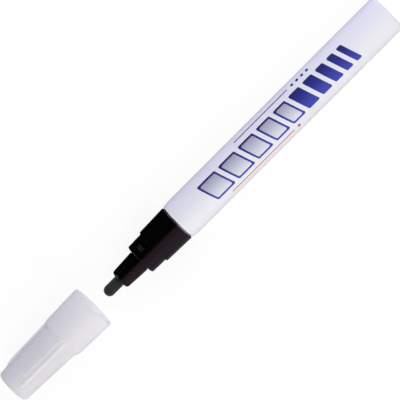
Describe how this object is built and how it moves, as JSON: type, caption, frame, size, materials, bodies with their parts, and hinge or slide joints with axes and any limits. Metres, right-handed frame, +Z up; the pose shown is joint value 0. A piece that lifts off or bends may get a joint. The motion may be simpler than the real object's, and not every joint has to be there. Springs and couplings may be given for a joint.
{
  "type": "paint marker",
  "caption": "Valve-action paint marker: round white barrel, stepped black collar and nose, dark bullet nib, with a translucent ribbed cap taken off and lying in line with it.",
  "frame": {"origin": "on the table under the middle of the whole length, with the cap off and in line", "axes": "+X along the marker from the cap's closed end to the barrel's flat rear end, +Z up"},
  "size_m": [0.1854, 0.0172, 0.0173],
  "materials": {
    "white_enamel": "gloss",
    "black_plastic": "gloss",
    "seal_rubber": "matte",
    "nib_felt": "matte",
    "valve_plastic": "satin",
    "spring_steel": "polished",
    "ball_steel": "polished",
    "cap_plastic": "satin",
    "inner_cap_plastic": "satin"
  },
  "bodies": {
    "marker": {"barrel": "white_enamel", "front_collar": "black_plastic", "barrel_gasket": "seal_rubber", "nose": "black_plastic", "valve_body": "valve_plastic", "valve_spring": "spring_steel", "spring_cage": "valve_plastic"},
    "pump": {"nib": "nib_felt", "nib_socket": "valve_plastic", "valve_stem": "valve_plastic", "stem_seal": "seal_rubber"},
    "ball": {"mixing_ball": "ball_steel"},
    "cap": {"cap_shell": "cap_plastic", "inner_cap": "inner_cap_plastic"}
  },
  "joints": [
    {"name": "cap_slide", "type": "slide", "parent": "marker", "child": "cap", "axis": [0.9996, 0, -0.0278], "range_m": [0, 0.04112]},
    {"name": "nib_pump", "type": "slide", "parent": "marker", "child": "pump", "axis": [1, 0, 0], "range_m": [0, 0.002], "stiffness_N_per_m": 500, "springref_m": -0.004, "deforming": ["valve_spring"]},
    {"name": "ball_travel", "type": "slide", "parent": "marker", "child": "ball", "axis": [1, 0, 0], "range_m": [-0.052, 0.0376]}
  ]
}
